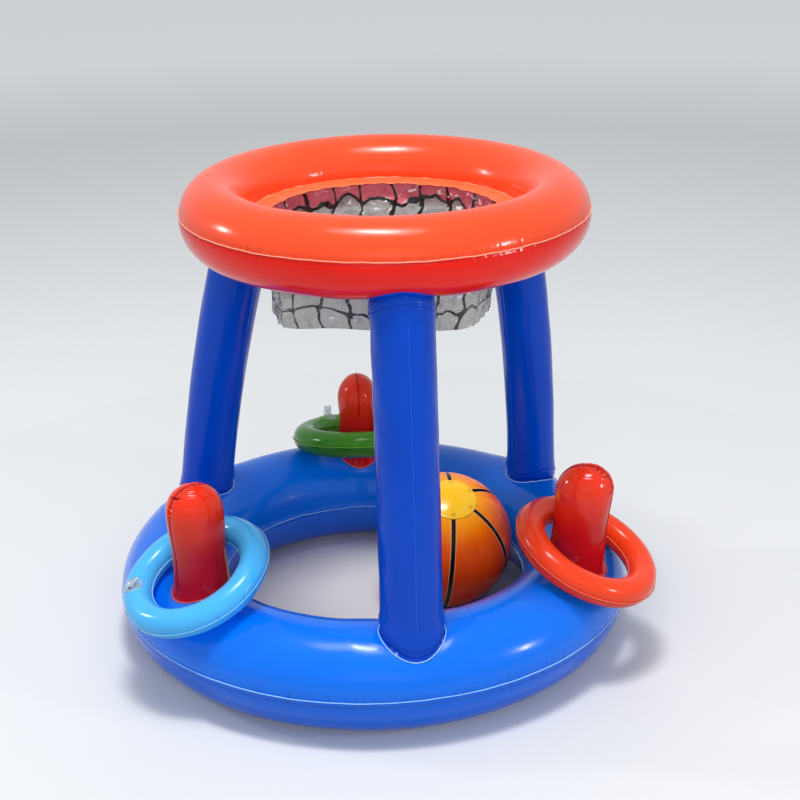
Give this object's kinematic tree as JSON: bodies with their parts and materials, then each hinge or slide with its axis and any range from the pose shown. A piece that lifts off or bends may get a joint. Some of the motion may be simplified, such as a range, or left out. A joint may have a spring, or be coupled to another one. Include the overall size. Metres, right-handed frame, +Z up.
{
  "type": "inflatable basketball hoop",
  "caption": "Floating inflatable hoop on legs over a ring float, with a film net, toss rings on pegs and an inflatable ball.",
  "frame": {"origin": "middle of the floor area that the whole toy covers, on the floor", "axes": "+Z up out of the hoop, -Y towards the viewer of the picture, +X to the viewer's right"},
  "size_m": [0.6402, 0.6266, 0.573],
  "materials": {
    "float_blue": "glossy royal blue vinyl film, drawn tight by the air, with a pressed weld seam",
    "leg_blue": "glossy deep blue vinyl film",
    "weld_blue": "thin pressed weld flange of blue film",
    "hoop_orange": "glossy red orange vinyl film with fine puckers at the weld seam",
    "band_orange": "flat welded band of orange film",
    "peg_red": "glossy red vinyl film, puckered over the dome",
    "weld_red": "thin pressed weld flange of red film",
    "net_film": "clear grey film printed with a black net pattern",
    "ring_blue": "glossy light blue vinyl film",
    "ring_red": "glossy red orange vinyl film",
    "ring_green": "glossy green vinyl film",
    "ball_orange": "glossy orange vinyl film with black lines from pole to pole",
    "cap_yellow": "glossy yellow orange film patch, welded on",
    "valve_clear": "clear soft plastic",
    "plug_clear": "clear soft plastic"
  },
  "bodies": {
    "frame": {"base_ring": "float_blue", "hoop_ring": "hoop_orange", "leg_back_left": "leg_blue", "leg_back_right": "leg_blue", "leg_front": "leg_blue", "net_band": "band_orange", "net_sleeve": "net_film", "peg_back": "peg_red", "peg_left": "peg_red", "peg_right": "peg_red", "valve_base": "valve_clear", "valve_hoop": "valve_clear", "weld_foot_back_left": "weld_blue", "weld_foot_back_right": "weld_blue", "weld_foot_front": "weld_blue", "weld_peg_back": "weld_red", "weld_peg_left": "weld_red", "weld_peg_right": "weld_red", "weld_top_back_left": "weld_blue", "weld_top_back_right": "weld_blue", "weld_top_front": "weld_blue"},
    "ring_blue": {"toss_ring_blue": "ring_blue", "valve_ring_blue": "valve_clear"},
    "ring_red": {"toss_ring_red": "ring_red", "valve_ring_red": "valve_clear"},
    "ring_green": {"toss_ring_green": "ring_green", "valve_ring_green": "valve_clear"},
    "ball": {"ball": "ball_orange", "ball_cap_upper": "cap_yellow", "ball_cap_lower": "cap_yellow", "valve_ball": "valve_clear"},
    "plug_base": {"plug_base": "plug_clear"},
    "plug_hoop": {"plug_hoop": "plug_clear"},
    "plug_ring_blue": {"plug_ring_blue": "plug_clear"},
    "plug_ring_red": {"plug_ring_red": "plug_clear"},
    "plug_ring_green": {"plug_ring_green": "plug_clear"},
    "plug_ball": {"plug_ball": "plug_clear"}
  },
  "joints": [
    {"name": "ring_blue_lift", "type": "slide", "parent": "frame", "child": "ring_blue", "axis": [-0.0412, -0.0323, 0.9986], "range_m": [0, 0.16]},
    {"name": "ring_red_lift", "type": "slide", "parent": "frame", "child": "ring_red", "axis": [0.1001, -0.03, 0.9945], "range_m": [0, 0.16]},
    {"name": "ring_green_lift", "type": "slide", "parent": "frame", "child": "ring_green", "axis": [-0.0055, 0.0433, 0.999], "range_m": [0, 0.16]},
    {"name": "ball_toss", "type": "slide", "parent": "frame", "child": "ball", "axis": [-0.2062, -0.1597, 0.9654], "range_m": [0, 0.6]},
    {"name": "plug_base_pull", "type": "slide", "parent": "frame", "child": "plug_base", "axis": [-0.4841, 0.7747, 0.4067], "range_m": [0, 0.012]},
    {"name": "plug_hoop_pull", "type": "slide", "parent": "frame", "child": "plug_hoop", "axis": [0.1843, 0.884, 0.4297], "range_m": [0, 0.012]},
    {"name": "plug_ring_blue_pull", "type": "slide", "parent": "ring_blue", "child": "plug_ring_blue", "axis": [-0.3326, -0.2608, 0.9063], "range_m": [0, 0.012]},
    {"name": "plug_ring_red_pull", "type": "slide", "parent": "ring_red", "child": "plug_ring_red", "axis": [0.4199, -0.126, 0.8988], "range_m": [0, 0.012]},
    {"name": "plug_ring_green_pull", "type": "slide", "parent": "ring_green", "child": "plug_ring_green", "axis": [-0.0282, 0.2232, 0.9744], "range_m": [0, 0.012]},
    {"name": "plug_ball_pull", "type": "slide", "parent": "ball", "child": "plug_ball", "axis": [-0.1422, 0.8067, 0.5736], "range_m": [0, 0.012]}
  ]
}
